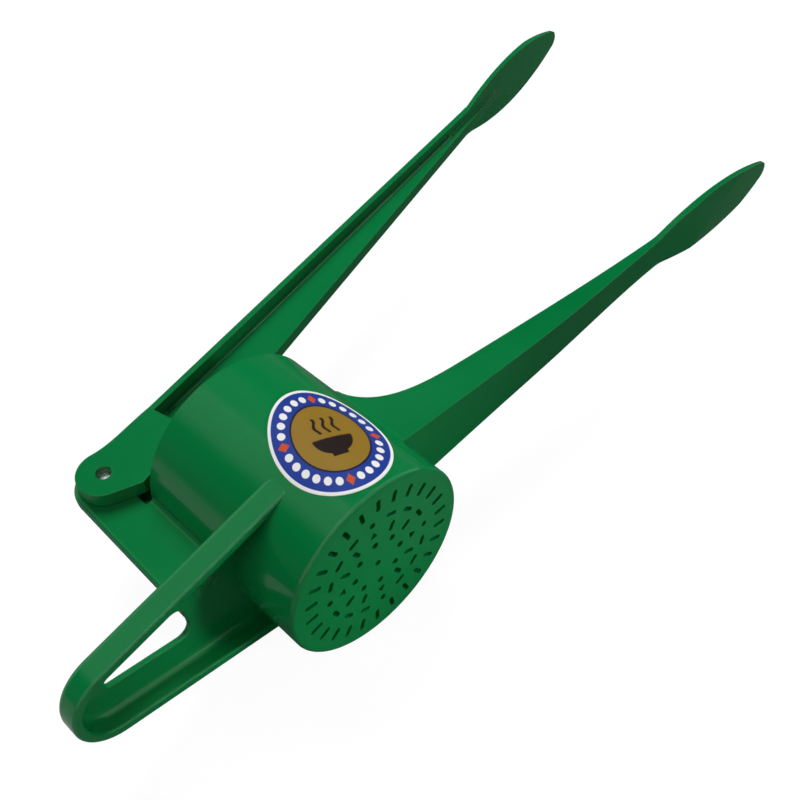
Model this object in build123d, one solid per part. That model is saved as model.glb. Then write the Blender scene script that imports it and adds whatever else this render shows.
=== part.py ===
"""A hand press for soft dough or boiled potatoes, lying on its side.

X runs along the handles to the grips, Y along the cup from the slotted base to the mouth,
and Z along the hinge pin. The origin is the middle of the slotted base's outer face.
All sizes are in millimetres.
"""
from build123d import *
import os
from math import acos, asin, atan2, cos, hypot, radians, sin, tan

# Cup and slotted base
cup_base_dia = 78.0
cup_draft = 0.7
cup_wall = 4.0
cup_height = 80.5
base_thickness = 4.5
base_edge_radius = 1.5
mouth_chamfer = 0.9

slot_width = 1.9
outer_slot_count = 26
outer_slot_inset = 4.3
outer_slot_length = 5.6
arc_slot_count = 16
arc_ring_step = 8.1
arc_slot_length = 4.7
spoke_slot_count = 12
spoke_ring_step = 6.1
spoke_slot_length = 4.7
small_hole_count = 8
small_ring_step = 5.7
small_hole_dia = 2.7
quarter_hole_dia = 2.5
triangle_hole_size = 2.0

# Hinge, above the mouth and outside the cup
hinge_out = 7.2
hinge_rise = 16.5
hinge_pin_dia = 6.0
hinge_pin_recess = 2.0
running_clearance = 0.06
side_clearance = 0.3

# Hinge web, a flat plate between the cup and the hinge
web_thickness = 5.0
web_end_radius = 12.8
web_foot_out = 21.0
web_neck_in = 4.0
web_edge_radius = 1.6
web_root_radius = 2.0

# Pot rest, a wedge-shaped loop of channel section that is open towards the base
rest_rim_y = 23.2
rest_height = 10.3
rest_plate_thickness = 2.4
rest_wall = 3.9
rest_tip_out = 52.7
rest_tip_radius = 19.1
rest_sink = 0.6
rest_ledge = 12.8
rest_opening_out = 21.0
rest_opening_corner = 4.5
rest_rim_radius = 1.2
rest_crown_radius = 3.0
rest_cove_radius = 2.6
rest_opening_edge = 0.7

# Lower handle, a channel that is open on the lever's side, and its leaf-shaped grip
handle_floor_y = 23.0
handle_root_depth = 9.0
handle_root_half_width = 15.6
handle_top_depth = 3.0
handle_root_top_y = 58.0
handle_knee_out = 47.0
handle_knee_top_y = 36.6
handle_mid_out = 71.0
handle_mid_half_width = 9.2
handle_neck_out = 151.0
handle_neck_half_width = 6.8
handle_neck_floor_y = 25.0
handle_neck_top_y = 27.9
handle_slope = 0.083
handle_wall = 3.4
handle_root_radius = 4.0
channel_end_out = 111.0
grip_half_width = 12.4
grip_thickness = 3.3
grip_tip_thickness = 1.2
grip_crown_radius = 90.0
grip_middle = 0.44
grip_tip_radius = 4.5
grip_neck_radius = 22.0
lower_grip_length = 81.5
lower_grip_bulge = 2.1
upper_grip_length = 88.0
upper_grip_bulge = 1.3
upper_grip_drop = 3.1

# Upper lever, in its own frame: u along the lever from the hinge, v across it
lever_rest_angle = 12.3
lever_closing_angle = 9.5
lever_opening_angle = 70.0
lever_half_width = 9.0
ear_radius = 10.5
ear_under_angle = 34.0
ear_under_v = -15.6
fork_radius = 18.0
block_end_u = 32.5
block_foot_u = 14.0
block_end_v = -6.0
lever_shoulder_u = 36.0
lever_shoulder_v = 6.3
lever_web_thickness = 5.0
lever_flange_thickness = 2.6
lever_depth_mid_u = 85.0
lever_depth_mid_v = -14.3
lever_web_end_u = 292.0
lever_neck_u = 254.0
lever_neck_half_width = 6.4
lever_neck_v = 0.3
lever_overlap = 2.0

# Lug, plunger pin and plunger
plunger_pin_reach = 58.0
plunger_pin_angle = 32.8
plunger_pin_dia = 6.0
lug_thickness = 6.0
lug_end_radius = 6.6
lug_root_half_length = 17.0
plunger_gap = 0.3
plunger_thickness = 7.0
plunger_floor_gap = 1.0
plunger_edge_chamfer = 1.2
plunger_travel_share = 0.91
cheek_thickness = 4.0
cheek_margin = 3.4
slot_play = 0.35
post_half_length = 13.0

# Oval paper label on the cup's wall
label_length = 53.3
label_width = 40.5
label_turn = -18.6
label_y = 28.8
label_angle = 75.8
label_thickness = 0.25

# Places that follow from the sizes above
cup_base_radius = cup_base_dia / 2
bore_dia = cup_base_dia - 2 * cup_wall
hinge_x = cup_draft - cup_base_radius - hinge_out
hinge_y = cup_height + hinge_rise
web_foot_x = -cup_base_radius - web_foot_out
web_neck_x = hinge_x + web_neck_in
rest_top_y = rest_rim_y + rest_height
rest_tip_x = -cup_base_radius - rest_tip_out
rest_opening_x = -cup_base_radius - rest_opening_out
handle_root_x = cup_base_radius - handle_root_depth
handle_top_x = cup_base_radius - handle_top_depth
handle_knee_x = cup_base_radius + handle_knee_out
handle_mid_x = cup_base_radius + handle_mid_out
handle_neck_x = cup_base_radius + handle_neck_out
channel_end_x = cup_base_radius + channel_end_out
outer_slot_radius = bore_dia / 2 - outer_slot_inset
arc_slot_radius = outer_slot_radius - arc_ring_step
spoke_slot_radius = arc_slot_radius - spoke_ring_step
small_hole_radius = spoke_slot_radius - small_ring_step
plunger_travel_per_radian = plunger_travel_share * plunger_pin_reach


def cup_radius(y):
    """Outer radius of the slightly tapered cup at height y."""
    return cup_base_radius - cup_draft * y / cup_height


def cup_envelope(extra=0.0):
    """Solid cone of the cup's outside, for trimming what joins the cup."""
    low, high = -cup_wall, cup_height + cup_wall
    profile = Polyline(
        (0, low), (cup_radius(low) + extra, low), (cup_radius(high) + extra, high), (0, high), close=True
    )
    return revolve(make_face(profile), Axis.Y)


def side_slab(face, half_width):
    """A side profile in X and Y, thickened evenly to both sides."""
    return extrude(face, half_width, both=True)


def plan_slab(face, low_y, high_y):
    """A plan outline in X and Z, raised from low_y to high_y."""
    return Pos(0, high_y, 0) * extrude(Plane.XZ * face, high_y - low_y)


def on_base(angle, radius):
    """Place and turn on the base so that the local X axis points outwards."""
    return Rot(0, 0, angle) * Pos(radius, 0, 0)


def ring_of(mark, count, radius, skip_every=0):
    """Copies of a mark round the base, leaving out every skip_every-th one."""
    kept = [k for k in range(count) if skip_every == 0 or k % skip_every]
    return [on_base(k * 360 / count, radius) * mark for k in kept]


def make_cup():
    section = make_face(Polyline(
        (bore_dia / 2, 0), (cup_radius(0), 0), (cup_radius(cup_height), cup_height),
        (bore_dia / 2, cup_height), close=True,
    ))
    foot = section.vertices().sort_by(Axis.X)[-1]
    section = fillet(foot, base_edge_radius)
    rim = section.vertices().sort_by(Axis.Y)[-2:]
    section = chamfer(rim, mouth_chamfer)
    return revolve(section, Axis.Y)


def make_base():
    """Slotted base: rings of slots, with round holes and small triangles at the quarters."""
    long_slot = SlotOverall(outer_slot_length, slot_width)
    arc_slot = Rot(0, 0, 90) * SlotOverall(arc_slot_length, slot_width)
    spoke_slot = SlotOverall(spoke_slot_length, slot_width)
    marks = ring_of(long_slot, outer_slot_count, outer_slot_radius)
    marks += ring_of(arc_slot, arc_slot_count, arc_slot_radius, arc_slot_count // 4)
    marks += ring_of(Circle(quarter_hole_dia / 2), 4, arc_slot_radius)
    marks += ring_of(spoke_slot, spoke_slot_count, spoke_slot_radius, spoke_slot_count // 4)
    marks += ring_of(RegularPolygon(triangle_hole_size, 3), 4, spoke_slot_radius)
    marks += ring_of(Circle(small_hole_dia / 2), small_hole_count, small_hole_radius)
    marks += [Circle(quarter_hole_dia / 2)]
    return plan_slab(Circle(bore_dia / 2) - marks, 0, base_thickness)


def hinge_circle(radius):
    return Pos(hinge_x, hinge_y) * Circle(radius)


def rooted(piece, radius, chosen):
    """The piece with a fillet where its chosen edges run into the cup, cut off at the cup's wall."""
    joined = piece + cup_envelope()
    roots = joined.faces().filter_by(GeomType.CONE).edges().filter_by(chosen)
    return fillet(roots, radius) - cup_envelope()


def make_hinge_web():
    reach = hypot(web_foot_x - hinge_x, rest_top_y - hinge_y)
    heading = atan2(rest_top_y - hinge_y, web_foot_x - hinge_x)
    touch = heading - acos(web_end_radius / reach)
    tangent = (hinge_x + web_end_radius * cos(touch), hinge_y + web_end_radius * sin(touch))
    neck_low_y = cup_height - 2 * mouth_chamfer
    blade = make_face(Polyline(
        (web_foot_x, rest_top_y), tangent, (hinge_x, hinge_y), (web_neck_x, hinge_y),
        (web_neck_x, neck_low_y), (-bore_dia / 2, neck_low_y), (-bore_dia / 2, rest_top_y), close=True,
    ))
    web = side_slab(blade + hinge_circle(web_end_radius), web_thickness / 2)
    outer_edges = web.edges().filter_by(GeomType.LINE).filter_by(
        lambda e: e.center().X < hinge_x - web_end_radius and e.length > web_thickness)
    web = fillet(outer_edges, web_edge_radius)
    web -= side_slab(hinge_circle(hinge_pin_dia / 2 + running_clearance), web_thickness)
    flank = web_thickness / 4
    return rooted(web, web_root_radius, lambda e: e.center().X < 0 and abs(e.center().Z) > flank)


def rest_outline(inset, end_x):
    """Wedge with a round tip, drawn in from the pot rest's outer edge by inset.

    Its sides run on into the cup's wall, almost at a tangent.
    """
    radius = rest_tip_radius - inset
    lean = asin((cup_radius(rest_top_y) - rest_sink - rest_tip_radius) / -rest_tip_x)
    touch_x = rest_tip_x - radius * sin(lean)
    touch_z = radius * cos(lean)
    end_z = touch_z + (end_x - touch_x) * tan(lean)
    return make_face([
        Line((touch_x, touch_z), (end_x, end_z)),
        Line((end_x, end_z), (end_x, -end_z)),
        Line((end_x, -end_z), (touch_x, -touch_z)),
        ThreePointArc((touch_x, -touch_z), (rest_tip_x - radius, 0), (touch_x, touch_z)),
    ])


def make_pot_rest():
    under_y = rest_top_y - rest_plate_thickness
    root_x = -bore_dia / 6
    rest = plan_slab(rest_outline(0, root_x), rest_rim_y, rest_top_y)
    crown = rest.faces().sort_by(Axis.Y)[-1].edges().filter_by(lambda e: e.center().X < root_x - 1)
    rest = fillet(crown, rest_crown_radius)
    rest -= plan_slab(rest_outline(rest_wall, root_x + rest_wall), rest_rim_y - rest_wall, under_y)
    cove = rest.edges().filter_by(
        lambda e: abs(e.center().Y - under_y) < rest_opening_edge and e.center().X < root_x - 1)
    rest = fillet(cove, rest_cove_radius)
    rim = rest.faces().sort_by(Axis.Y)[0].edges().filter_by(lambda e: e.center().X < root_x - 1)
    rest = fillet(rim, rest_rim_radius)
    opening = rest_outline(rest_wall + rest_ledge, rest_opening_x)
    opening = fillet(opening.vertices().sort_by(Axis.X)[-2:], rest_opening_corner)
    opening = plan_slab(opening, rest_rim_y, rest_top_y + rest_wall)
    rest -= opening
    edges = rest.edges().filter_by(lambda e: opening.is_inside(e.center()) or opening.distance_to(e) < 1e-4)
    rest = fillet(edges.filter_by(lambda e: e.length > rest_plate_thickness), rest_opening_edge)
    return rest - cup_envelope()


def leaf_edge(neck, neck_half_width, length):
    """One side of a leaf-shaped grip, from its neck to the point where both sides would meet."""
    return ThreePointArc(
        (neck, neck_half_width), (neck + grip_middle * length, grip_half_width), (neck + length, 0))


def leaf_rounded(outline, neck):
    """An outline with its leaf's tip rounded and its neck eased."""
    outline = fillet(outline.vertices().sort_by(Axis.X)[-1], grip_tip_radius)
    necks = outline.vertices().filter_by(lambda v: abs(v.X - neck) < grip_tip_radius)
    return fillet(necks, grip_neck_radius)


def crowned(blade, neck, length, level, side):
    """A blade whose grip has one face rounded across, which looks along +Y or -Y as side is 1 or -1.

    The grip starts at the neck's X and is length long. level is the height of the round face's middle.
    """
    axis = Plane((neck, level - side * grip_crown_radius, 0), z_dir=(1, 0, 0))
    grip = split(blade, bisect_by=axis, keep=Keep.TOP)
    arm = split(blade, bisect_by=axis, keep=Keep.BOTTOM)
    return arm + (grip & extrude(axis * Circle(grip_crown_radius), length))


def mirrored_face(edges, start, half_width):
    """Face between the edges on one side of the middle line and their mirror images."""
    other = [mirror(edge, Plane.XZ) for edge in edges]
    return make_face(edges + other + [Line((start, half_width), (start, -half_width))])


def handle_taper(inset):
    """One side of the lower handle in plan, from inside the cup to the neck, drawn in by inset."""
    return Spline(
        (handle_root_x, handle_root_half_width - inset), (handle_mid_x, handle_mid_half_width - inset),
        (handle_neck_x, handle_neck_half_width - inset), tangents=[(1, -0.11), (1, -0.06), (1, 0.02)],
    )


def make_lower_handle():
    tip_x = handle_neck_x + lower_grip_length
    grip_x = handle_neck_x + grip_middle * lower_grip_length
    grip_floor_y = handle_neck_floor_y - lower_grip_bulge
    plan = leaf_rounded(mirrored_face(
        [handle_taper(0), leaf_edge(handle_neck_x, handle_neck_half_width, lower_grip_length)],
        handle_root_x, handle_root_half_width), handle_neck_x)
    side = make_face([
        Line((handle_root_x, handle_floor_y), (handle_mid_x, handle_floor_y)),
        Spline((handle_mid_x, handle_floor_y), (handle_neck_x, handle_neck_floor_y),
               tangents=[(1, 0), (1, 0)]),
        Spline((handle_neck_x, handle_neck_floor_y), (grip_x, grip_floor_y), (tip_x, handle_neck_floor_y),
               tangents=[(1, 0), (1, 0), (1, 0.08)]),
        Line((tip_x, handle_neck_floor_y), (tip_x, handle_neck_floor_y + grip_tip_thickness)),
        Spline((tip_x, handle_neck_floor_y + grip_tip_thickness), (grip_x, grip_floor_y + grip_thickness),
               (handle_neck_x, handle_neck_top_y)),
        Line((handle_neck_x, handle_neck_top_y), (handle_knee_x, handle_knee_top_y)),
        Spline((handle_knee_x, handle_knee_top_y), (handle_top_x, handle_root_top_y),
               tangents=[(-1, handle_slope), (-0.3, 0.95)]),
        Line((handle_top_x, handle_root_top_y), (handle_root_x, handle_root_top_y)),
        Line((handle_root_x, handle_root_top_y), (handle_root_x, handle_floor_y)),
    ])
    flank = handle_root_half_width / 2
    handle = rooted(plan_slab(plan, 0, cup_height), handle_root_radius, lambda e: abs(e.center().Z) > flank)
    handle &= side_slab(side, 2 * handle_root_half_width)
    handle = crowned(handle, handle_neck_x, lower_grip_length, grip_floor_y, -1)
    inner_neck = handle_neck_half_width - handle_wall
    inner = make_face([
        handle_taper(handle_wall), mirror(handle_taper(handle_wall), Plane.XZ),
        Line((handle_root_x, handle_root_half_width - handle_wall),
             (handle_root_x, handle_wall - handle_root_half_width)),
        Line((handle_neck_x, inner_neck), (handle_neck_x, -inner_neck)),
    ])
    inner &= Pos((handle_root_x + channel_end_x) / 2, 0) * Rectangle(
        channel_end_x - handle_root_x, 2 * handle_root_half_width)
    channel = plan_slab(inner, handle_floor_y + handle_wall, cup_height)
    return handle - channel


def lever_top(u):
    """Height of the lever's straight top edge above the hinge line."""
    share = (u - lever_shoulder_u) / (lever_neck_u - lever_shoulder_u)
    return lever_shoulder_v + share * (lever_neck_v - lever_shoulder_v)


def plunger_pin_at(turn):
    """Place of the plunger pin when the lever has turned this many degrees from rest."""
    angle = radians(lever_rest_angle - plunger_pin_angle + turn)
    return hinge_x + plunger_pin_reach * cos(angle), hinge_y + plunger_pin_reach * sin(angle)


def make_upper_lever():
    under = radians(ear_under_angle)
    leave = (-ear_radius * sin(under), -ear_radius * cos(under))
    corner_u = leave[0] + (leave[1] - ear_under_v) / tan(under)
    bottom_slope = (lever_depth_mid_v - ear_under_v) / (lever_depth_mid_u - corner_u)
    block_bottom = ear_under_v + bottom_slope * (block_foot_u - corner_u)
    crown = radians(68)
    crown_point = (ear_radius * cos(crown), ear_radius * sin(crown))
    block = Circle(ear_radius) + make_face([
        Line(leave, (corner_u, ear_under_v)),
        Line((corner_u, ear_under_v), (block_foot_u, block_bottom)),
        Line((block_foot_u, block_bottom), (block_end_u, block_end_v)),
        Line((block_end_u, block_end_v), (block_end_u, lever_top(block_end_u))),
        Spline((block_end_u, lever_top(block_end_u)), crown_point,
               tangents=[(-1, 0.14), (-sin(crown), cos(crown))]),
        Line(crown_point, (0, 0)),
        Line((0, 0), leave),
    ])
    tip_u = lever_neck_u + upper_grip_length
    tip_v = lever_neck_v - upper_grip_drop
    grip_u = lever_neck_u + grip_middle * upper_grip_length
    grip_v = lever_neck_v - grip_middle * upper_grip_drop + upper_grip_bulge
    flange_side = make_face([
        Line((block_end_u, lever_top(block_end_u)), (lever_neck_u, lever_neck_v)),
        Spline((lever_neck_u, lever_neck_v), (grip_u, grip_v), (tip_u, tip_v)),
        Line((tip_u, tip_v), (tip_u, tip_v - grip_tip_thickness)),
        Spline((tip_u, tip_v - grip_tip_thickness), (grip_u, grip_v - grip_thickness),
               (lever_neck_u, lever_neck_v - lever_flange_thickness)),
        Line((lever_neck_u, lever_neck_v - lever_flange_thickness),
             (block_end_u, lever_top(block_end_u) - lever_flange_thickness)),
        Line((block_end_u, lever_top(block_end_u) - lever_flange_thickness),
             (block_end_u, lever_top(block_end_u))),
    ])
    flange_plan = leaf_rounded(mirrored_face(
        [Line((block_end_u, lever_half_width), (lever_neck_u, lever_neck_half_width)),
         leaf_edge(lever_neck_u, lever_neck_half_width, upper_grip_length)],
        block_end_u, lever_half_width), lever_neck_u)
    flange = side_slab(flange_side, 2 * grip_half_width) & plan_slab(flange_plan, -cup_height, cup_height)
    flange = crowned(flange, lever_neck_u, upper_grip_length, grip_v, 1)
    web_end_v = lever_neck_v - lever_flange_thickness
    web = make_face(Polyline(
        (block_foot_u - lever_overlap, block_bottom), (lever_depth_mid_u, lever_depth_mid_v),
        (lever_web_end_u, web_end_v), (lever_neck_u, lever_neck_v - lever_flange_thickness / 2),
        (block_end_u - lever_overlap, lever_top(block_end_u) - lever_flange_thickness / 2), close=True,
    ))
    pin_u = plunger_pin_reach * cos(radians(plunger_pin_angle))
    pin_v = -plunger_pin_reach * sin(radians(plunger_pin_angle))
    lug_root = Polyline((pin_u - lug_root_half_length, lever_depth_mid_v),
                        (pin_u + lug_root_half_length, lever_depth_mid_v))
    lug = make_hull(lug_root.edges() + (Pos(pin_u, pin_v) * Circle(lug_end_radius)).edges())
    lever = side_slab(block, lever_half_width) + flange + side_slab(web, lever_web_thickness / 2)
    lever += side_slab(lug, lug_thickness / 2)
    lever -= side_slab(Circle(fork_radius), web_thickness / 2 + side_clearance)
    lever -= side_slab(Circle(hinge_pin_dia / 2), 2 * lever_half_width)
    lever -= side_slab(Pos(pin_u, pin_v) * Circle(plunger_pin_dia / 2), lug_thickness)
    return Pos(hinge_x, hinge_y) * Rot(0, 0, lever_rest_angle) * lever


def make_hinge_pin():
    return side_slab(hinge_circle(hinge_pin_dia / 2), lever_half_width - hinge_pin_recess)


def make_plunger_pin():
    half_length = lug_thickness / 2 + side_clearance + cheek_thickness
    return side_slab(Pos(*plunger_pin_at(0)) * Circle(plunger_pin_dia / 2), half_length)


def make_plunger():
    """Piston with a forked post. The lever's pin runs in a cross slot in the fork."""
    turns = range(-round(lever_closing_angle), round(lever_opening_angle) + 1)
    seats = [plunger_pin_at(turn) for turn in turns]
    drift = [seat[1] - plunger_travel_per_radian * radians(turn) for seat, turn in zip(seats, turns)]
    low_x, high_x = min(seat[0] for seat in seats), max(seat[0] for seat in seats)
    slot_half_height = plunger_pin_dia / 2 + (max(drift) - min(drift)) / 2 + slot_play
    slot_length = high_x - low_x + 2 * slot_half_height
    slot_x, slot_y = (low_x + high_x) / 2, (max(drift) + min(drift)) / 2
    face_y = base_thickness + plunger_floor_gap + plunger_travel_per_radian * radians(lever_closing_angle)
    top_y = face_y + plunger_thickness
    disc = plan_slab(Circle(bore_dia / 2 - plunger_gap), face_y, top_y)
    disc = chamfer(disc.edges(), plunger_edge_chamfer)
    cheek_half_length = slot_length / 2 + cheek_margin
    cheek_top = slot_y + slot_half_height + cheek_margin
    inner = lug_thickness / 2 + side_clearance
    cheek = make_face(Polyline(
        (-post_half_length, top_y - plunger_edge_chamfer), (post_half_length, top_y - plunger_edge_chamfer),
        (slot_x + cheek_half_length, slot_y - slot_half_height),
        (slot_x + cheek_half_length, cheek_top), (slot_x - cheek_half_length, cheek_top),
        (slot_x - cheek_half_length, slot_y - slot_half_height), close=True,
    ))
    cheek = fillet(cheek.vertices().sort_by(Axis.Y)[-2:], slot_half_height)
    post_top = min(drift) - lug_end_radius - plunger_pin_dia / 2
    post = make_face(Polyline(
        (-post_half_length, top_y - plunger_edge_chamfer), (post_half_length, top_y - plunger_edge_chamfer),
        (post_half_length, post_top), (-post_half_length, post_top), close=True,
    ))
    plunger = disc + side_slab(cheek, inner + cheek_thickness)
    plunger -= side_slab(cheek, inner) - plan_slab(Circle(bore_dia / 2), face_y, top_y)
    plunger += side_slab(post & cheek, inner)
    slot = Pos(slot_x, slot_y) * SlotOverall(slot_length, 2 * slot_half_height)
    return plunger - side_slab(slot, 2 * (inner + cheek_thickness))


def make_label():
    """Thin oval label that follows the cup's wall."""
    skin = cup_envelope(extra=label_thickness) - cup_envelope()
    outward = (cos(radians(label_angle)), 0, sin(radians(label_angle)))
    plane = Plane((0, label_y, 0), x_dir=(0, 1, 0), z_dir=outward)
    shadow = plane * Rot(0, 0, label_turn) * Ellipse(label_length / 2, label_width / 2)
    return skin & extrude(shadow, cup_base_dia)


if __name__ == "__main__":
    os.makedirs("parts", exist_ok=True)
    parts = {
        "cup": make_cup(),
        "slotted_base": make_base(),
        "hinge_web": make_hinge_web(),
        "pot_rest": make_pot_rest(),
        "lower_handle": make_lower_handle(),
        "upper_lever": make_upper_lever(),
        "hinge_pin": make_hinge_pin(),
        "plunger": make_plunger(),
        "plunger_pin": make_plunger_pin(),
        "label": make_label(),
    }
    for name, shape in parts.items():
        export_step(shape, f"parts/{name}.step")
        print(name, len(shape.solids()), "solid", round(shape.volume / 1000, 2), "cm3")
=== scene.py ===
# %% [markdown]
# # A green cast hand press in a small photo studio
# This lesson dresses a kitchen press that lies on its side. The construction comes in as a fixed frame,
# with every part at its real size, in metres. Blender then adds what a camera would see: paint, steel, a
# paper label, the marks of the casting mould, a floor, light and a camera.

import math

import bmesh
import bpy
from mathutils import Matrix, Vector


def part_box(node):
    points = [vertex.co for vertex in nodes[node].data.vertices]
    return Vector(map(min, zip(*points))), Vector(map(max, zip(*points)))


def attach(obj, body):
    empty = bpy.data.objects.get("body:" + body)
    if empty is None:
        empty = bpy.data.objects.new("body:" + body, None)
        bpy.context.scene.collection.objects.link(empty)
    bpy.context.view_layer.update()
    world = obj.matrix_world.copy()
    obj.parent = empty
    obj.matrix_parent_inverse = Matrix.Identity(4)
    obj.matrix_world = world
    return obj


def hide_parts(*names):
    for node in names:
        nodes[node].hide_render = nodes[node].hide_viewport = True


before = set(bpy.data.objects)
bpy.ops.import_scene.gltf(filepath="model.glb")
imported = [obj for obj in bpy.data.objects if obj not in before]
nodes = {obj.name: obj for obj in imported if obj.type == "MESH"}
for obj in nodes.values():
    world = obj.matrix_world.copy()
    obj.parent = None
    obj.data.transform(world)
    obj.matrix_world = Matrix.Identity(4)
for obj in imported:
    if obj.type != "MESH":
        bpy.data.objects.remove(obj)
scene = bpy.context.scene
millimetre = 0.001
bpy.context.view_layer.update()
print("parts in the frame:", sorted(nodes))

# %% [markdown]
# ## The camera
# The picture was taken from above the pot rest, looking down along the press. The camera's place and turn
# were worked out from the round cup, the straight handles and the hinge. Three unit vectors say how the
# camera is turned, which is easier to check than angles: right and up lie in the picture, and back points
# from the press to the camera.

# %% Camera
camera_place = Vector((-0.134224, -0.182772, 0.350537))
camera_right = Vector((0.70565, -0.70664, -0.05211))
camera_up = Vector((0.56823, 0.52043, 0.63739))
camera_back = camera_right.cross(camera_up)
camera_lens_mm = 53.47
camera_shift = (-0.0305, 0.0169)
sensor_width_mm = 36.0
nearest_seen = 10 * millimetre

camera_data = bpy.data.cameras.new("studio_camera")
camera_data.sensor_width = sensor_width_mm
camera_data.lens = camera_lens_mm
camera_data.shift_x = camera_shift[0]
camera_data.shift_y = camera_shift[1]
camera_data.clip_start = nearest_seen
camera = bpy.data.objects.new("studio_camera", camera_data)
scene.collection.objects.link(camera)
turn = Matrix((camera_right, camera_up, camera_back)).transposed()
camera.matrix_world = Matrix.Translation(camera_place) @ turn.to_4x4()
scene.camera = camera
print("camera", round(camera_place.length, 3), "m from the outlet")

# %% [markdown]
# ## Shader maths as plain sums
# A shader is a graph of boxes and wires, and long formulas are hard to read there. This small class wraps
# one wire. Adding or multiplying wires adds Math nodes, and one method adds any other node: its settings
# first, then a number or a wire for each of its sockets.

# %% A wire that can be used in sums
class Wire:
    """One output socket of a shader tree, usable in sums."""

    def __init__(self, tree, socket=None):
        self.tree = tree
        self.socket = socket

    def node(self, kind, settings=None, inputs=None, output=0):
        """Add a node of this kind and return the wire of one of its outputs."""
        made = self.tree.nodes.new("ShaderNode" + kind)
        for name, value in (settings or {}).items():
            setattr(made, name, value)
        for name, value in (inputs or {}).items():
            socket = made.inputs[name]
            if isinstance(value, Wire):
                self.tree.links.new(value.socket, socket)
            else:
                socket.default_value = value
        return Wire(self.tree, made.outputs[output] if made.outputs else None)

    def sum(self, operation, *values):
        """One Math node on these values."""
        return self.node("Math", {"operation": operation}, dict(enumerate(values)))

    def __add__(self, other):
        return self.sum("ADD", self, other)

    __radd__ = __add__

    def __sub__(self, other):
        return self.sum("SUBTRACT", self, other)

    def __rsub__(self, other):
        return self.sum("SUBTRACT", other, self)

    def __mul__(self, other):
        return self.sum("MULTIPLY", self, other)

    __rmul__ = __mul__

    def __truediv__(self, other):
        return self.sum("DIVIDE", self, other)

    def __lt__(self, other):
        return self.sum("LESS_THAN", self, other)

    def smooth(self, low, high):
        """0 below low, 1 above high, with a soft step between."""
        return self.node(
            "MapRange", {"interpolation_type": "SMOOTHSTEP"},
            {"Value": self, "From Min": low, "From Max": high},
        )

    def mix(self, colour, other):
        """The first colour where this wire is 0, and the other where it is 1."""
        return self.node(
            "Mix", {"data_type": "RGBA"}, {"Factor": self, 6: colour, 7: other}, output=2)


def new_finish(name):
    """An empty node material and its first wire."""
    material = bpy.data.materials.new(name)
    material.use_nodes = True
    material.node_tree.nodes.clear()
    return material, Wire(material.node_tree)


def close_finish(start, shader):
    """Wire a shader to the material's output."""
    start.node("OutputMaterial", inputs={"Surface": shader})


def wear(piece, material):
    """Put one material on all of a piece."""
    piece.data.materials.clear()
    piece.data.materials.append(material)


def seen_directly(start):
    """1 on the rays that show a thing itself, and 0 on the rays that light or mirror it."""
    straight = start.node("LightPath", output="Is Camera Ray")
    return start.sum("MAXIMUM", straight, start.node("LightPath", output="Is Transmission Ray"))


print("the wire class and four helpers for finishes are ready")

# %% [markdown]
# ## Green paint
# The castings are sprayed with one thick glossy coat. Close up such paint is not flat: it has a fine
# orange peel, it is a little thinner and lighter in some places, and handling leaves broad patches that
# shine less. Three noises at three scales give these. The colour varies so little that one sees it only
# as depth. Thick paint also rounds the edges of a casting. The cup and the pot rest have rounds in their
# solids. On the lever, the handle and the hinge web a Bevel node bends the normals close to the edges
# instead, which looks the same and needs no faces.

# %% Green paint
paint_colour = (0.0020, 0.205, 0.0510, 1.0)
paint_deep = (0.0012, 0.182, 0.0450, 1.0)
peel_size = 1.6 * millimetre
patch_size = 60 * millimetre
grain_size = 0.5 * millimetre
edge_round = 0.7 * millimetre
edge_samples = 6
grain_share = 0.2
tone_edges = (0.30, 0.70)
handled_edges = (0.35, 0.75)
paint_roughness = 0.10
handled_roughness = 0.05
grain_roughness = 0.03
peel_strength = 0.05
peel_depth = 0.2 * millimetre
paint_specular = 0.35


def make_green_paint(name, round_edges):
    """Glossy paint, with or without shading that rounds the edges."""
    material, start = new_finish(name)
    place = start.node("TexCoord", output="Object")
    patches = start.node("TexNoise", inputs={
        "Vector": place, "Scale": 1 / patch_size, "Detail": 3.0, "Roughness": 0.55})
    peel = start.node("TexNoise", inputs={
        "Vector": place, "Scale": 1 / peel_size, "Detail": 1.0, "Roughness": 0.4})
    grain = start.node("TexNoise", inputs={
        "Vector": place, "Scale": 1 / grain_size, "Detail": 2.0, "Roughness": 0.6})
    tone = patches.smooth(*tone_edges) * (1 - grain_share) + grain * grain_share
    colour = tone.mix(paint_deep, paint_colour)
    rough = paint_roughness + patches.smooth(*handled_edges) * handled_roughness + grain * grain_roughness
    height = peel * (1 - grain_share) + grain * grain_share
    relief = {"Strength": peel_strength, "Distance": peel_depth, "Height": height}
    if round_edges:
        relief["Normal"] = start.node("Bevel", {"samples": edge_samples}, {"Radius": edge_round})
    bump = start.node("Bump", inputs=relief)
    shader = start.node("BsdfPrincipled", inputs={
        "Base Color": colour, "Roughness": rough, "Normal": bump,
        "Specular IOR Level": paint_specular})
    close_finish(start, shader)
    return material


green_paint = make_green_paint("green_paint", round_edges=False)
soft_edged_paint = make_green_paint("soft_edged_green_paint", round_edges=True)
for name in ("cup", "slotted_base", "pot_rest", "plunger"):
    wear(nodes[name], green_paint)
for name in ("hinge_web", "lower_handle", "upper_lever"):
    wear(nodes[name], soft_edged_paint)
print("painted: seven parts")

# %% [markdown]
# ## Steel pins
# Both pins are drawn steel. Drawing leaves fine lines along the pin, so the noise is stretched along Z,
# which is the pins' own axis. Metal shows little but its reflections, and so only its roughness and tint
# vary.

# %% Pin steel
steel_colour = (0.86, 0.82, 0.83, 1.0)
steel_dark = (0.66, 0.63, 0.64, 1.0)
steel_lines_per_metre = (4000.0, 4000.0, 60.0)
steel_roughness = 0.30
line_roughness = 0.20


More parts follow.
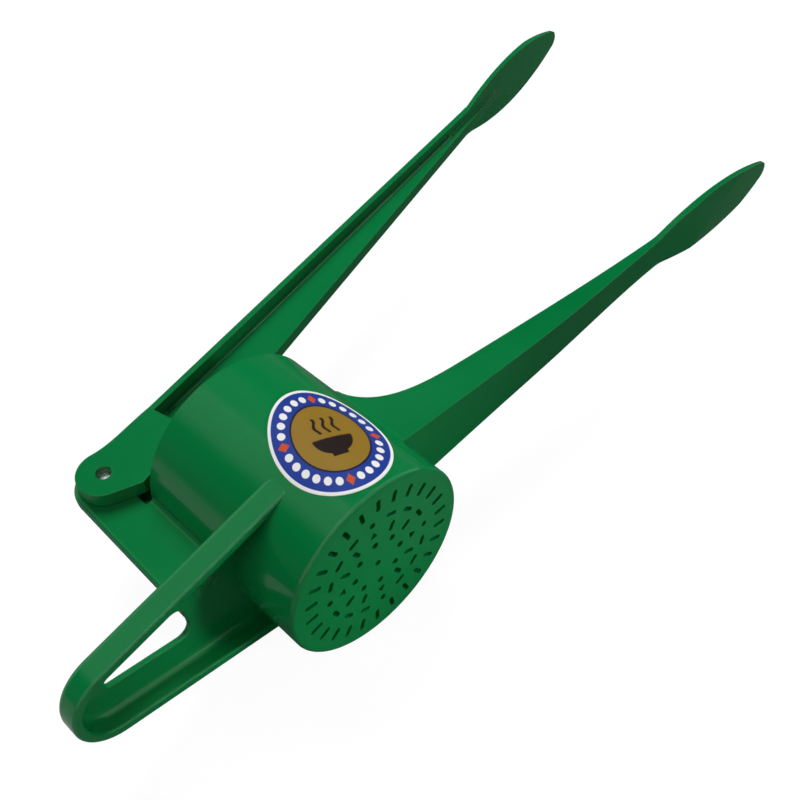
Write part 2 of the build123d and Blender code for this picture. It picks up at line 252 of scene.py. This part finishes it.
def make_pin_steel():
    """Drawn steel with fine lines along Z."""
    material, start = new_finish("pin_steel")
    place = start.node("TexCoord", output="Object")
    stretched = start.node("Mapping", inputs={"Vector": place, "Scale": steel_lines_per_metre})
    lines = start.node("TexNoise", inputs={"Vector": stretched, "Scale": 1.0, "Detail": 3.0})
    shader = start.node("BsdfPrincipled", inputs={
        "Base Color": lines.mix(steel_dark, steel_colour), "Metallic": 1.0,
        "Roughness": steel_roughness + lines * line_roughness})
    close_finish(start, shader)
    return material


pin_steel = make_pin_steel()
for name in ("hinge_pin", "plunger_pin"):
    wear(nodes[name], pin_steel)
print("steel: the two pins")

# %% [markdown]
# ## The hinge pin's toothed end
# The end of the hinge pin lies below the face of the lever's ear. It is a ring round a small toothed
# core, as a pin has that is knurled to grip its hole. The shaft starts as a disc that is extruded to its
# length. Two insets then make the ring, which slopes a little, and the floor of its groove, which is
# pushed down. The core is a disc whose every second corner is pulled in, extruded as well and drawn up to
# a blunt point, so that its small faces catch the light one by one. The new pin takes the place of the
# plain one, at the same size.

# %% Helpers for new pieces
def add_piece(name, shape, material, body, smooth=False):
    """Make a finished shape a piece of the press that moves with this body."""
    bmesh.ops.recalc_face_normals(shape, faces=shape.faces)
    for face in shape.faces:
        face.smooth = smooth
    mesh = bpy.data.meshes.new(name)
    shape.to_mesh(mesh)
    shape.free()
    piece = bpy.data.objects.new(name, mesh)
    scene.collection.objects.link(piece)
    wear(piece, material)
    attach(piece, body)
    print(name, "has", len(mesh.polygons), "faces and rides", body)
    return piece


def lifted(shape, faces, step):
    """Extrude these faces by a step along Z and return the new top faces."""
    made = bmesh.ops.extrude_face_region(shape, geom=faces)["geom"]
    corners = [item for item in made if isinstance(item, bmesh.types.BMVert)]
    bmesh.ops.translate(shape, vec=(0.0, 0.0, step), verts=corners)
    return [item for item in made if isinstance(item, bmesh.types.BMFace)]


print("two helpers for new pieces are ready")

# %% Toothed hinge pin
pin_low, pin_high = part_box("hinge_pin")
pin_centre = (pin_low + pin_high) / 2
pin_radius = (pin_high.x - pin_low.x) / 2
pin_length = pin_high.z - pin_low.z
pin_sides = 48
pin_ring = 0.5 * millimetre
pin_ring_rise = 0.2 * millimetre
pin_groove = 0.6 * millimetre
pin_groove_depth = 1.2 * millimetre
pin_slope = 0.05 * millimetre
tooth_count = 8
tooth_depth = 0.5 * millimetre
core_radius = pin_radius - pin_ring - pin_groove
core_rise = 0.7 * millimetre
core_point = 0.5 * millimetre

pin = bmesh.new()
bmesh.ops.create_circle(pin, cap_ends=True, segments=pin_sides, radius=pin_radius)
pin_end = lifted(pin, list(pin.faces), pin_length - pin_ring_rise)
bmesh.ops.inset_region(pin, faces=pin_end, thickness=pin_ring, depth=pin_ring_rise)
bmesh.ops.inset_region(pin, faces=pin_end, thickness=pin_slope, depth=-pin_groove_depth)
groove_floor = pin_end[0].calc_center_median().z

core = bmesh.ops.create_circle(pin, cap_ends=True, segments=2 * tooth_count, radius=core_radius)["verts"]
for corner in core[::2]:
    corner.co *= 1 - tooth_depth / core_radius
bmesh.ops.translate(pin, vec=(0.0, 0.0, groove_floor - pin_slope), verts=core)
core_end = lifted(pin, list(core[0].link_faces), core_rise)
bmesh.ops.poke(pin, faces=core_end, offset=core_point)
bmesh.ops.translate(pin, vec=pin_centre - Vector((0.0, 0.0, pin_length / 2)), verts=pin.verts)
toothed_pin = add_piece("toothed_hinge_pin", pin, pin_steel, "lever")
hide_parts("hinge_pin")

# %% [markdown]
# The castings are sprayed with the pin in place, and a little of the green stays at the bottom of the
# groove. It is a thin disc as wide as the groove, and the toothed core stands up through it.

# %% Paint in the groove
paint_depth = 0.2 * millimetre
groove_radius = pin_radius - pin_ring

groove_paint = bmesh.new()
bmesh.ops.create_cone(
    groove_paint, cap_ends=True, segments=pin_sides, radius1=groove_radius, radius2=groove_radius,
    depth=paint_depth)
groove_middle = pin_centre + Vector((0.0, 0.0, groove_floor - pin_length / 2))
bmesh.ops.translate(groove_paint, vec=groove_middle, verts=groove_paint.verts)
add_piece("pin_groove_paint", groove_paint, green_paint, "lever")

# %% [markdown]
# ## The casting's root beads
# Where the lever's flange stands on its thin web, the mould leaves a small round bead that strengthens
# the corner. From above it shows as one thin line of light along the lever. A cylinder is turned to the
# lever's own slope and sinks about half into the web, once on each side.

# %% Root beads on the lever
hinge = Vector((pin_centre.x, pin_centre.y, 0.0))
lever_slope = math.radians(12.3)
bead_start = Vector((38.0, 2.75, 0.0)) * millimetre
bead_end = Vector((236.0, -2.70, 0.0)) * millimetre
bead_sink = 2.4 * millimetre
root_bead_radius = 0.6 * millimetre
root_bead_sides = 16


def make_root_bead(side):
    """One bead along the corner of flange and web, on this side of the lever."""
    shape = bmesh.new()
    run = bead_end - bead_start
    bmesh.ops.create_cone(
        shape, cap_ends=True, segments=root_bead_sides, radius1=root_bead_radius,
        radius2=root_bead_radius, depth=run.length)
    bmesh.ops.rotate(shape, matrix=run.to_track_quat("Z", "Y").to_matrix(), verts=shape.verts)
    bmesh.ops.translate(
        shape, vec=(bead_start + bead_end) / 2 + Vector((0.0, 0.0, side * bead_sink)), verts=shape.verts)
    bmesh.ops.rotate(shape, matrix=Matrix.Rotation(lever_slope, 3, "Z"), verts=shape.verts)
    bmesh.ops.translate(shape, vec=hinge, verts=shape.verts)
    return shape


for side, name in ((1, "upper_root_bead"), (-1, "lower_root_bead")):
    add_piece(name, make_root_bead(side), green_paint, "lever", smooth=True)

# %% [markdown]
# ## Marks of the casting mould
# Under the pot rest, close to the cup, the mould has left two small round marks: thin raised rings, one
# inside the other. A ring is a small circle that spins once round the mark's middle. Half of it sinks in
# the wall, so that only a low round bead stands out.

# %% Mould marks
rest_plate = 2.4 * millimetre
underside_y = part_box("pot_rest")[1].y - rest_plate
bead_radius = 0.22 * millimetre
bead_sides = 10
turn_steps = 40
weld_distance = 1e-7
mark_radii = (2.4 * millimetre, 1.3 * millimetre)
mark_places = ((-53.0 * millimetre, 9.5 * millimetre), (-46.9 * millimetre, 9.8 * millimetre))


def make_mark(place):
    """Two concentric beads on the underside of the pot rest, which faces -Y."""
    shape = bmesh.new()
    middle = Vector((place[0], underside_y, place[1]))
    for radius in mark_radii:
        ring = bmesh.ops.create_circle(shape, segments=bead_sides, radius=bead_radius)["verts"]
        edges = list({edge for corner in ring for edge in corner.link_edges})
        bmesh.ops.translate(shape, vec=middle + Vector((radius, 0.0, 0.0)), verts=ring)
        bmesh.ops.spin(
            shape, geom=edges, cent=middle, axis=(0.0, 1.0, 0.0), angle=math.tau, steps=turn_steps,
            use_merge=True)
    bmesh.ops.remove_doubles(shape, verts=shape.verts, dist=weld_distance)
    return shape


for number, place in enumerate(mark_places, 1):
    mark = make_mark(place)
    add_piece("mould_mark_%d" % number, mark, green_paint, "press_body", smooth=True)

# %% [markdown]
# ## The printed label
# The label is an oval of coated paper, pasted on the cup's upper side. Its print is worked out from the
# place of each point. Two lengths across the label come first: rise, which is 1 at the top of the oval,
# and reach, which is 1 at its side. The sizes of the print are shares of these. The soft steps between
# the colours are as wide as printing ink spreads.

# %% Label places and inks
label_y = 28.8 * millimetre
label_angle = math.radians(75.8)
label_turn = math.radians(-18.6)
label_half_length = 26.65 * millimetre
label_half_width = 20.25 * millimetre
label_white = (0.86, 0.86, 0.83, 1.0)
label_blue = (0.0130, 0.0430, 0.2950, 1.0)
label_ochre = (0.2780, 0.1650, 0.0190, 1.0)
label_dark = (0.0180, 0.0110, 0.0100, 1.0)
label_orange = (0.5600, 0.0750, 0.0200, 1.0)
ink_spread = 0.012


def across_label(start, place):
    """The rise and the reach of a place on the label."""
    x, y, z = (start.node("SeparateXYZ", inputs={0: place}, output=axis) for axis in "XYZ")
    along = y - label_y
    around = z * math.cos(label_angle) - x * math.sin(label_angle)
    rise = (along * math.cos(label_turn) + around * math.sin(label_turn)) / label_half_length
    reach = (along * math.sin(label_turn) - around * math.cos(label_turn)) / label_half_width
    return rise, reach


def size_of(value):
    """A value without its sign."""
    return value.sum("ABSOLUTE", value)


def length_of(first, second):
    """The length of two values that stand square to each other."""
    return first.sum("SQRT", first * first + second * second)


def below(value, limit):
    """1 where a value is under a limit, with the soft edge of spreading ink."""
    return 1 - value.smooth(limit, limit + ink_spread)


label_size_mm = [round(2 * half / millimetre, 1) for half in (label_half_length, label_half_width)]
print("label of", label_size_mm, "mm")

# %% [markdown]
# The blue border is divided into equal places round the oval. Each place has its own small measure, step,
# which runs from -0.5 to 0.5, and the widths of petals and lozenges are shares of a place. A white petal
# fills a place, but every seventh place has an orange lozenge instead.

# %% Petals and lozenges
petal_count = 28
lozenge_every = 7
border_radius = 0.79
petal_half_width = 0.35355
petal_half_height = 0.06742
petal_edges = (0.90, 1.06)
lozenge_half_width = 0.43478
lozenge_half_height = 0.10
lozenge_edges = (0.92, 1.06)


def border_print(rise, reach, radius):
    """The petals and the lozenges of the border, each 1 where its ink lies."""
    share = rise.sum("ARCTAN2", reach, rise) * (petal_count / math.tau) + petal_count
    step = share.sum("FRACT", share) - 0.5
    chosen = share.sum("MODULO", share.sum("FLOOR", share), lozenge_every) < 0.5
    border = radius - border_radius
    petal = length_of(step / petal_half_width, border / petal_half_height)
    petals = (1 - petal.smooth(*petal_edges)) * (1 - chosen)
    lozenge = size_of(step) / lozenge_half_width + size_of(border) / lozenge_half_height
    lozenges = (1 - lozenge.smooth(*lozenge_edges)) * chosen
    return petals, lozenges


print("border of", petal_count, "places,", petal_count // lozenge_every, "of them lozenges")

# %% [markdown]
# A bowl with steam stands in the ochre field. The bowl is the lower half of a wide oval on a narrow foot.
# The three curls of steam are one upright line, repeated sideways, that sways as a sine of its height.

# %% Bowl and steam
bowl_top = -0.02
bowl_depth = 0.30
bowl_flatness = 0.75
foot_rise = -0.325
foot_half_height = 0.03
foot_half_width = 0.13
curl_count = 3
curl_spacing = 0.17
curl_half_width = 0.022
curl_middle = 0.22
curl_half_height = 0.15
curl_waves = 24.0
curl_sway = 0.028


def bowl_print(rise, reach):
    """The bowl with its foot and its steam, 1 where the dark ink lies."""
    depth = rise - bowl_top
    lower_half = 1 - depth.smooth(-ink_spread, ink_spread)
    hollow = depth.sum("SQRT", reach * reach * bowl_flatness + depth * depth)
    bowl = lower_half * below(hollow, bowl_depth)
    foot = below(size_of(rise - foot_rise), foot_half_height) * below(size_of(reach), foot_half_width)
    column = reach.sum("ROUND", reach / curl_spacing)
    sway = rise.sum("SINE", rise * curl_waves) * curl_sway
    curl = below(size_of(reach - column * curl_spacing - sway), curl_half_width)
    tall = below(size_of(rise - curl_middle), curl_half_height)
    steam = curl * tall * (size_of(column) < curl_count / 2)
    return rise.sum("MINIMUM", bowl + foot + steam, 1.0)


print("a bowl with", curl_count, "curls of steam")

# %% [markdown]
# The inks are laid one over the other, as a printer does it: the field in the border, the bowl, the
# petals and the lozenges, a dark line round the field, and last the bare white rim. The paper's fibres
# show only as a small change of its sheen.

# %% Label print
field_radius = 0.62
line_radius = 0.64
line_half_width = 0.008
rim_radius = 0.945
fibres_per_metre = 900.0
paper_roughness = 0.34
fibre_roughness = 0.10
paper_specular = 0.30


def make_label_paper():
    """Coated paper with the whole print."""
    material, start = new_finish("label_paper")
    place = start.node("TexCoord", output="Object")
    rise, reach = across_label(start, place)
    radius = length_of(rise, reach)
    petals, lozenges = border_print(rise, reach, radius)
    line = below(size_of(radius - line_radius), line_half_width)
    rim = 1 - below(radius, rim_radius)
    colour = below(radius, field_radius).mix(label_blue, label_ochre)
    colour = bowl_print(rise, reach).mix(colour, label_dark)
    colour = petals.mix(colour, label_white)
    colour = lozenges.mix(colour, label_orange)
    colour = line.mix(colour, label_dark)
    colour = rim.mix(colour, label_white)
    fibre = start.node("TexNoise", inputs={"Vector": place, "Scale": fibres_per_metre, "Detail": 3.0})
    shader = start.node("BsdfPrincipled", inputs={
        "Base Color": colour, "Roughness": paper_roughness + fibre * fibre_roughness,
        "Specular IOR Level": paper_specular})
    close_finish(start, shader)
    return material


wear(nodes["label"], make_label_paper())
print("the label is printed")

# %% [markdown]
# ## Floor
# The press lies on a pale table that throws light back up. Seen directly it is nearly white and keeps a
# soft shadow. The glossy paint mirrors a dimmer table, which keeps the green deep, and a lighter one on
# the left.

# %% Floor
floor_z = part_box("cup")[0].z
floor_half_width = 6.0
floor_colour = (0.48, 0.48, 0.48, 1.0)
floor_in_gloss = (0.13, 0.13, 0.13, 1.0)
left_floor_in_gloss = (0.48, 0.48, 0.48, 1.0)
left_floor_edges = (-140 * millimetre, -70 * millimetre)
floor_white = 1.24
floor_glow = 0.76
white = (1.0, 1.0, 1.0, 1.0)


def make_floor_finish():
    """A pale table that is almost white to the eye and dim in the gloss of the paint."""
    material, start = new_finish("pale_floor")
    glossy = start.node("LightPath", output="Is Glossy Ray")
    place = start.node("TexCoord", output="Object")
    left = 1 - start.node("SeparateXYZ", inputs={0: place}, output="X").smooth(*left_floor_edges)
    mirrored = left.mix(floor_in_gloss, left_floor_in_gloss)
    plain = start.node("BsdfDiffuse", inputs={"Color": glossy.mix(floor_colour, mirrored)})
    bright = start.node("Emission", inputs={"Color": white, "Strength": floor_white})
    share = seen_directly(start) * floor_glow
    close_finish(start, start.node("MixShader", inputs={0: share, 1: plain, 2: bright}))
    return material


floor_mesh = bpy.data.meshes.new("floor")
plan = bmesh.new()
bmesh.ops.create_grid(plan, x_segments=1, y_segments=1, size=floor_half_width)
bmesh.ops.translate(plan, vec=(0.0, 0.0, floor_z), verts=plan.verts)
plan.to_mesh(floor_mesh)
plan.free()
floor = bpy.data.objects.new("floor", floor_mesh)
scene.collection.objects.link(floor)
wear(floor, make_floor_finish())
print("floor at", round(floor_z / millimetre, 2), "mm")

# %% [markdown]
# ## Lamps
# One wide soft lamp above gives most of the light. Two small ones in front, with a narrow spread, fill
# the slotted base and the grips, and a weak one from the left opens the shade. The paint does not mirror
# them.

# %% Lamps
def add_softbox(name, place, target, size, watts, spread=180.0):
    """A square lamp that faces the target, with a spread in degrees, and is not mirrored in the paint."""
    lamp = bpy.data.lights.new(name, "AREA")
    lamp.shape = "SQUARE"
    lamp.size = size
    lamp.energy = watts
    lamp.spread = math.radians(spread)
    box = bpy.data.objects.new(name, lamp)
    scene.collection.objects.link(box)
    box.location = place
    box.rotation_mode = "QUATERNION"
    box.rotation_quaternion = (Vector(target) - Vector(place)).to_track_quat("-Z", "Y")
    box.visible_camera = False
    box.visible_glossy = False


add_softbox("key_softbox", (0.42, 0.71, 1.07), (0.06, 0.06, 0.0), size=0.80, watts=14.6)
add_softbox("front_softbox", (0.22, -0.38, 0.10), (-0.006, 0.0, -0.003), size=0.12, watts=0.034, spread=23.0)
add_softbox("grip_softbox", (0.50, -0.40, 0.12), (0.24, 0.09, 0.0), size=0.20, watts=0.033, spread=50.0)
add_softbox("left_softbox", (-0.75, 0.0, 0.45), (-0.04, 0.03, 0.0), size=0.50, watts=1.2)
print("four softboxes")

# %% [markdown]
# ## The room
# The room is white to the eye and lights the press evenly. What the paint mirrors is set apart from that:
# a room that is pale in front and far behind, with one broad pale panel overhead and dark walls between.
# It leaves one soft band along the cup and draws thin lines of light along the rounded edges. The edges
# below are parts of a direction of length 1, and each pair is the start and the end of a soft step.

# %% The room
room_light = 0.19
panel_light = 0.54
near_light = 0.90
far_light = 0.60
horizon_light = 0.06
dark_light = 0.01
panel_left_edge = (-0.62, -0.36)
panel_right_edge = (0.03, 0.10)
panel_low_edge = (0.50, 0.65)
horizon_edge = (0.22, 0.45)
near_edge = (0.08, 0.34)
far_edge = (0.70, 0.86)


def make_world():
    """The light of the room, and the other room that the paint mirrors."""
    world = bpy.data.worlds.new("studio")
    scene.world = world
    world.use_nodes = True
    tree = world.node_tree
    tree.nodes.clear()
    start = Wire(tree)
    seen = seen_directly(start)
    glossy = start.node("LightPath", output="Is Glossy Ray")
    direction = start.node("TexCoord", output="Generated")
    sideways = start.node("SeparateXYZ", inputs={0: direction}, output="X")
    away = start.node("SeparateXYZ", inputs={0: direction}, output="Y")
    height = start.node("SeparateXYZ", inputs={0: direction}, output="Z")
    panel = sideways.smooth(*panel_left_edge) * (1 - sideways.smooth(*panel_right_edge))
    panel = panel * height.smooth(*panel_low_edge)
    horizon = 1 - height.smooth(*horizon_edge)
    near = (1 - away.smooth(*near_edge)) * near_light
    far = away.smooth(*far_edge) * far_light
    mirrored = panel * panel_light + horizon * horizon_light + near + far + dark_light
    lit = (1 - glossy) * room_light + glossy * mirrored
    strength = seen + (1 - seen) * lit
    shade = start.node("Background", inputs={"Color": white, "Strength": strength})
    start.node("OutputWorld", inputs={"Surface": shade})


make_world()
scene.view_settings.view_transform = "Standard"
print("a pale room with one broad panel overhead")
